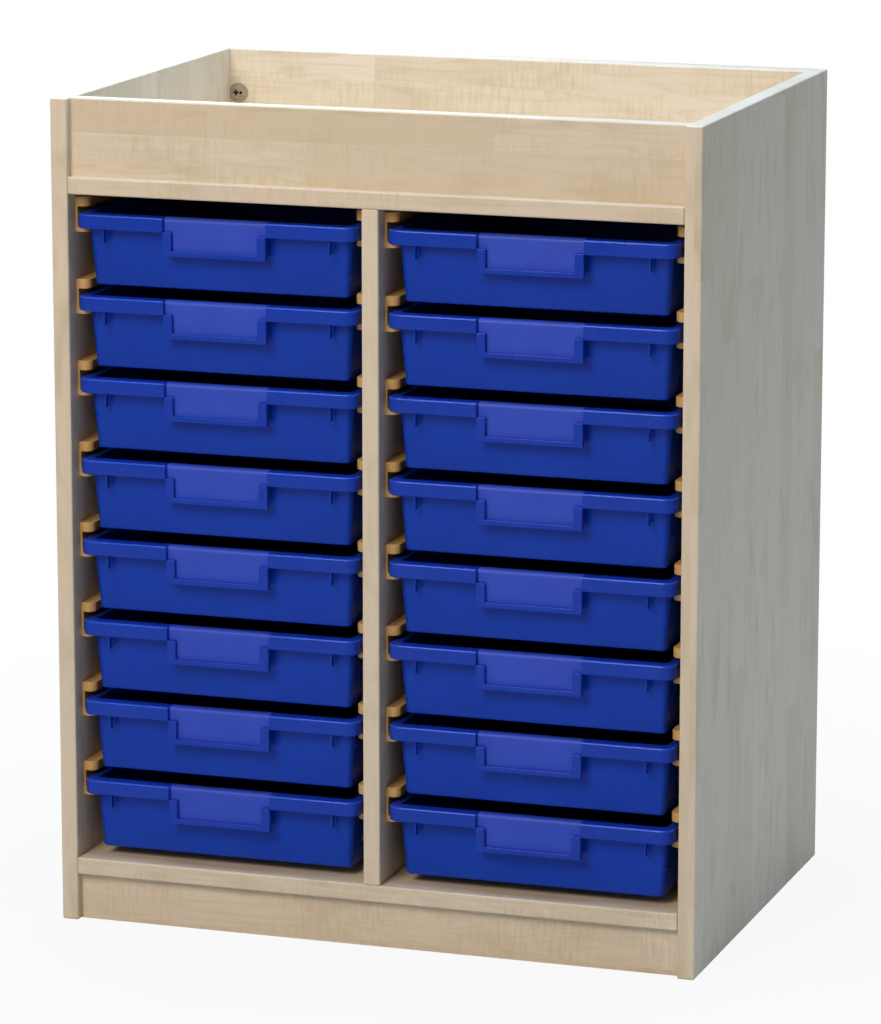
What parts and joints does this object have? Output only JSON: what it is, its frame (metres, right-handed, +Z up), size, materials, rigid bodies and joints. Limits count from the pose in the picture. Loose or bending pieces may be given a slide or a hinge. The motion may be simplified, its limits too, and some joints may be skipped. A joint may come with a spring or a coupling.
{
  "type": "classroom tray storage unit",
  "caption": "Two-bay maple-effect cabinet with a shallow open well on top and columns of blue pull-out trays hung by their rims in plastic runners.",
  "frame": {"origin": "on the floor below the middle of the cabinet", "axes": "+Z up, the open front faces -Y, +X to the right seen from the front"},
  "size_m": [0.69, 0.49, 0.868],
  "materials": {
    "maple_board": "satin melamine, pale maple effect",
    "maple_backboard": "satin foil, pale maple effect",
    "tray_blue": "moulded polypropylene, semi-gloss",
    "runner_buff": "moulded plastic, satin",
    "connector_plastic": "moulded plastic with a zinc cam"
  },
  "bodies": {
    "cabinet": {"left_side_panel": "maple_board", "right_side_panel": "maple_board", "centre_divider": "maple_board", "base_shelf": "maple_board", "well_floor": "maple_board", "front_rail": "maple_board", "back_rail": "maple_board", "plinth": "maple_board", "back_panel": "maple_backboard", "left_rail_connector": "connector_plastic", "right_rail_connector": "connector_plastic", "left_tray_1_left_runner": "runner_buff", "left_tray_1_right_runner": "runner_buff", "left_tray_2_left_runner": "runner_buff", "left_tray_2_right_runner": "runner_buff", "left_tray_3_left_runner": "runner_buff", "left_tray_3_right_runner": "runner_buff", "left_tray_4_left_runner": "runner_buff", "left_tray_4_right_runner": "runner_buff", "left_tray_5_left_runner": "runner_buff", "left_tray_5_right_runner": "runner_buff", "left_tray_6_left_runner": "runner_buff", "left_tray_6_right_runner": "runner_buff", "left_tray_7_left_runner": "runner_buff", "left_tray_7_right_runner": "runner_buff", "left_tray_8_left_runner": "runner_buff", "left_tray_8_right_runner": "runner_buff", "right_tray_1_left_runner": "runner_buff", "right_tray_1_right_runner": "runner_buff", "right_tray_2_left_runner": "runner_buff", "right_tray_2_right_runner": "runner_buff", "right_tray_3_left_runner": "runner_buff", "right_tray_3_right_runner": "runner_buff", "right_tray_4_left_runner": "runner_buff", "right_tray_4_right_runner": "runner_buff", "right_tray_5_left_runner": "runner_buff", "right_tray_5_right_runner": "runner_buff", "right_tray_6_left_runner": "runner_buff", "right_tray_6_right_runner": "runner_buff", "right_tray_7_left_runner": "runner_buff", "right_tray_7_right_runner": "runner_buff", "right_tray_8_left_runner": "runner_buff", "right_tray_8_right_runner": "runner_buff"},
    "left_tray_1": {"left_tray_1": "tray_blue"},
    "left_tray_2": {"left_tray_2": "tray_blue"},
    "left_tray_3": {"left_tray_3": "tray_blue"},
    "left_tray_4": {"left_tray_4": "tray_blue"},
    "left_tray_5": {"left_tray_5": "tray_blue"},
    "left_tray_6": {"left_tray_6": "tray_blue"},
    "left_tray_7": {"left_tray_7": "tray_blue"},
    "left_tray_8": {"left_tray_8": "tray_blue"},
    "right_tray_1": {"right_tray_1": "tray_blue"},
    "right_tray_2": {"right_tray_2": "tray_blue"},
    "right_tray_3": {"right_tray_3": "tray_blue"},
    "right_tray_4": {"right_tray_4": "tray_blue"},
    "right_tray_5": {"right_tray_5": "tray_blue"},
    "right_tray_6": {"right_tray_6": "tray_blue"},
    "right_tray_7": {"right_tray_7": "tray_blue"},
    "right_tray_8": {"right_tray_8": "tray_blue"}
  },
  "joints": [
    {"name": "left_tray_1_slide", "type": "slide", "parent": "cabinet", "child": "left_tray_1", "axis": [0, -1, 0], "range_m": [0, 0.4]},
    {"name": "left_tray_2_slide", "type": "slide", "parent": "cabinet", "child": "left_tray_2", "axis": [0, -1, 0], "range_m": [0, 0.4]},
    {"name": "left_tray_3_slide", "type": "slide", "parent": "cabinet", "child": "left_tray_3", "axis": [0, -1, 0], "range_m": [0, 0.4]},
    {"name": "left_tray_4_slide", "type": "slide", "parent": "cabinet", "child": "left_tray_4", "axis": [0, -1, 0], "range_m": [0, 0.4]},
    {"name": "left_tray_5_slide", "type": "slide", "parent": "cabinet", "child": "left_tray_5", "axis": [0, -1, 0], "range_m": [0, 0.4]},
    {"name": "left_tray_6_slide", "type": "slide", "parent": "cabinet", "child": "left_tray_6", "axis": [0, -1, 0], "range_m": [0, 0.4]},
    {"name": "left_tray_7_slide", "type": "slide", "parent": "cabinet", "child": "left_tray_7", "axis": [0, -1, 0], "range_m": [0, 0.4]},
    {"name": "left_tray_8_slide", "type": "slide", "parent": "cabinet", "child": "left_tray_8", "axis": [0, -1, 0], "range_m": [0, 0.4]},
    {"name": "right_tray_1_slide", "type": "slide", "parent": "cabinet", "child": "right_tray_1", "axis": [0, -1, 0], "range_m": [0, 0.4]},
    {"name": "right_tray_2_slide", "type": "slide", "parent": "cabinet", "child": "right_tray_2", "axis": [0, -1, 0], "range_m": [0, 0.4]},
    {"name": "right_tray_3_slide", "type": "slide", "parent": "cabinet", "child": "right_tray_3", "axis": [0, -1, 0], "range_m": [0, 0.4]},
    {"name": "right_tray_4_slide", "type": "slide", "parent": "cabinet", "child": "right_tray_4", "axis": [0, -1, 0], "range_m": [0, 0.4]},
    {"name": "right_tray_5_slide", "type": "slide", "parent": "cabinet", "child": "right_tray_5", "axis": [0, -1, 0], "range_m": [0, 0.4]},
    {"name": "right_tray_6_slide", "type": "slide", "parent": "cabinet", "child": "right_tray_6", "axis": [0, -1, 0], "range_m": [0, 0.4]},
    {"name": "right_tray_7_slide", "type": "slide", "parent": "cabinet", "child": "right_tray_7", "axis": [0, -1, 0], "range_m": [0, 0.4]},
    {"name": "right_tray_8_slide", "type": "slide", "parent": "cabinet", "child": "right_tray_8", "axis": [0, -1, 0], "range_m": [0, 0.4]}
  ]
}
